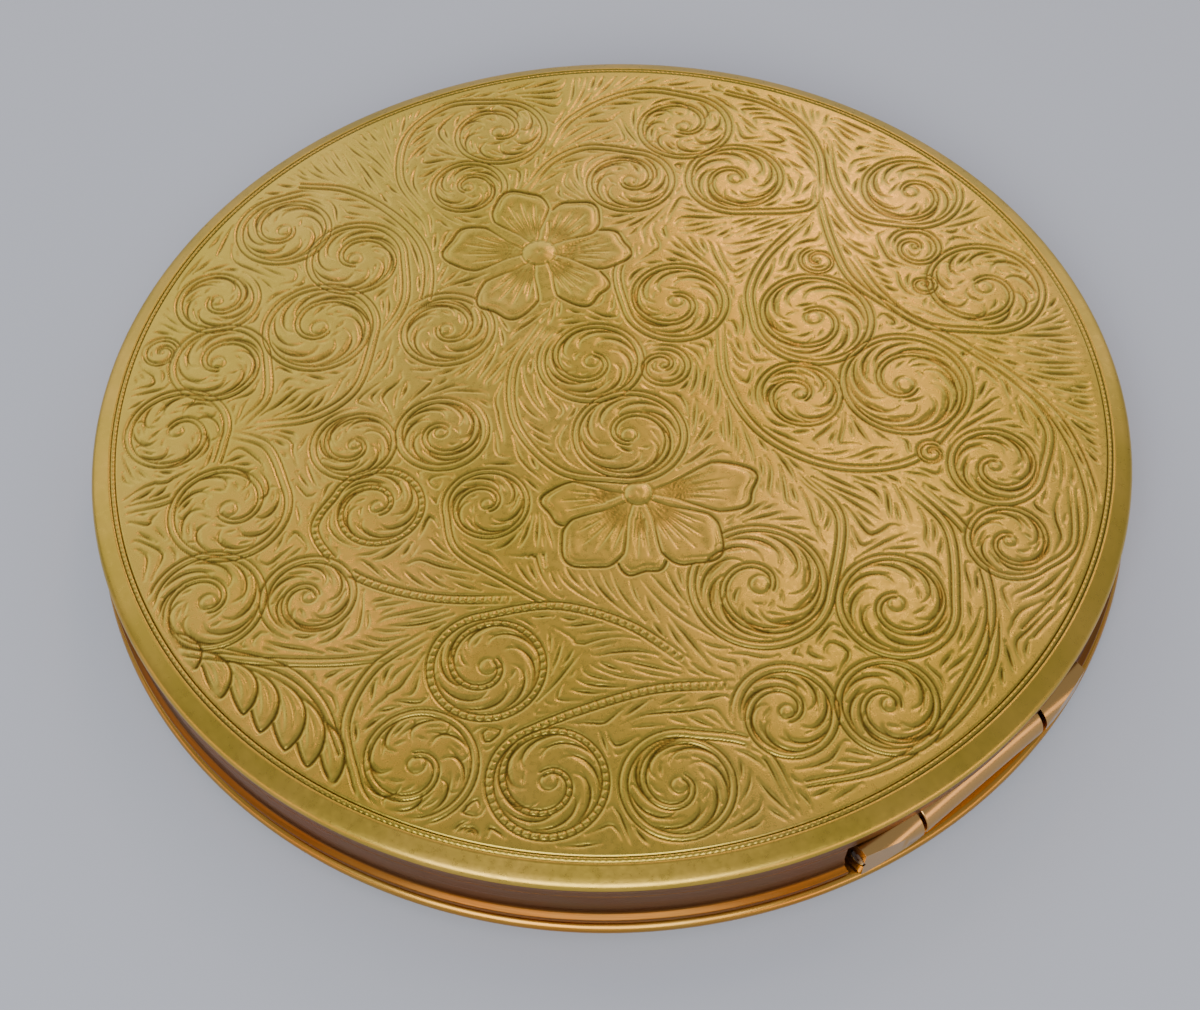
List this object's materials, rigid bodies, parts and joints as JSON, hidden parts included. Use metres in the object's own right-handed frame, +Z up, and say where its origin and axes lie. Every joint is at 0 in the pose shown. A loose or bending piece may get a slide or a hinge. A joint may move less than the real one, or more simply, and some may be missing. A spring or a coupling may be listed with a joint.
{
  "type": "powder compact",
  "caption": "Slim round metal powder compact with an engraved scrollwork lid, knuckle hinge, push catch, mirror, inner door, sifter and puff.",
  "frame": {"origin": "centre of the flat underside that the compact rests on", "axes": "+Z up through the closed case, +Y towards the hinge, -Y towards the push catch, X along the hinge pin"},
  "size_m": [0.0764, 0.0765, 0.0077],
  "materials": {
    "gold_engraved": "engraved scrollwork on a satin gold-coloured field, with a polished and lightly scratched border",
    "gold_satin": "satin gold-coloured, brushed round the wall",
    "gold_plain": "polished gold-coloured",
    "gold_inner": "bright polished gold-coloured",
    "steel": "plain steel",
    "mirror": "silvered glass",
    "card": "matt card",
    "powder": "matt face powder",
    "gauze": "fine woven gauze",
    "velour": "soft velour pile",
    "ribbon": "satin ribbon"
  },
  "bodies": {
    "base": {"base_shell": "gold_satin", "base_bezel": "gold_plain", "hinge_knuckle_left": "gold_plain", "hinge_knuckle_right": "gold_plain", "hinge_pin": "steel", "deck_plate": "gold_inner", "powder_well": "gold_inner", "powder_fill": "powder", "sifter_ring": "gold_inner", "sifter_gauze": "gauze", "powder_puff": "velour", "puff_ribbon": "ribbon", "door_hinge_knuckle_left": "gold_inner", "door_hinge_knuckle_right": "gold_inner", "door_hinge_pin": "steel", "catch_guide": "gold_plain", "catch_spring": "steel"},
    "lid": {"lid_shell": "gold_engraved", "hinge_knuckle_centre": "gold_plain", "mirror_backing": "card", "mirror_glass": "mirror", "mirror_bezel": "gold_plain", "lid_strike": "steel"},
    "inner_door": {"powder_door": "gold_inner", "door_hinge_knuckle_centre": "gold_inner", "door_lift_tab": "gold_inner"},
    "catch": {"catch_button": "gold_plain", "catch_hook": "steel"}
  },
  "joints": [
    {"name": "lid_hinge", "type": "hinge", "parent": "base", "child": "lid", "pos_m": [0, 0.0363, 0.0037], "axis": [-1, 0, 0], "range_deg": [0, 105]},
    {"name": "inner_door_hinge", "type": "hinge", "parent": "base", "child": "inner_door", "pos_m": [0, 0.02775, 0.00455], "axis": [-1, 0, 0], "range_deg": [0, 60]},
    {"name": "catch_slide", "type": "slide", "parent": "base", "child": "catch", "axis": [0, 1, 0], "range_m": [0, 0.0006], "stiffness_N_per_m": 300, "deforming": ["catch_spring"]}
  ],
  "couplings": [
    {"joint": "inner_door_hinge", "follows": "lid_hinge", "ratio": 0.55}
  ]
}
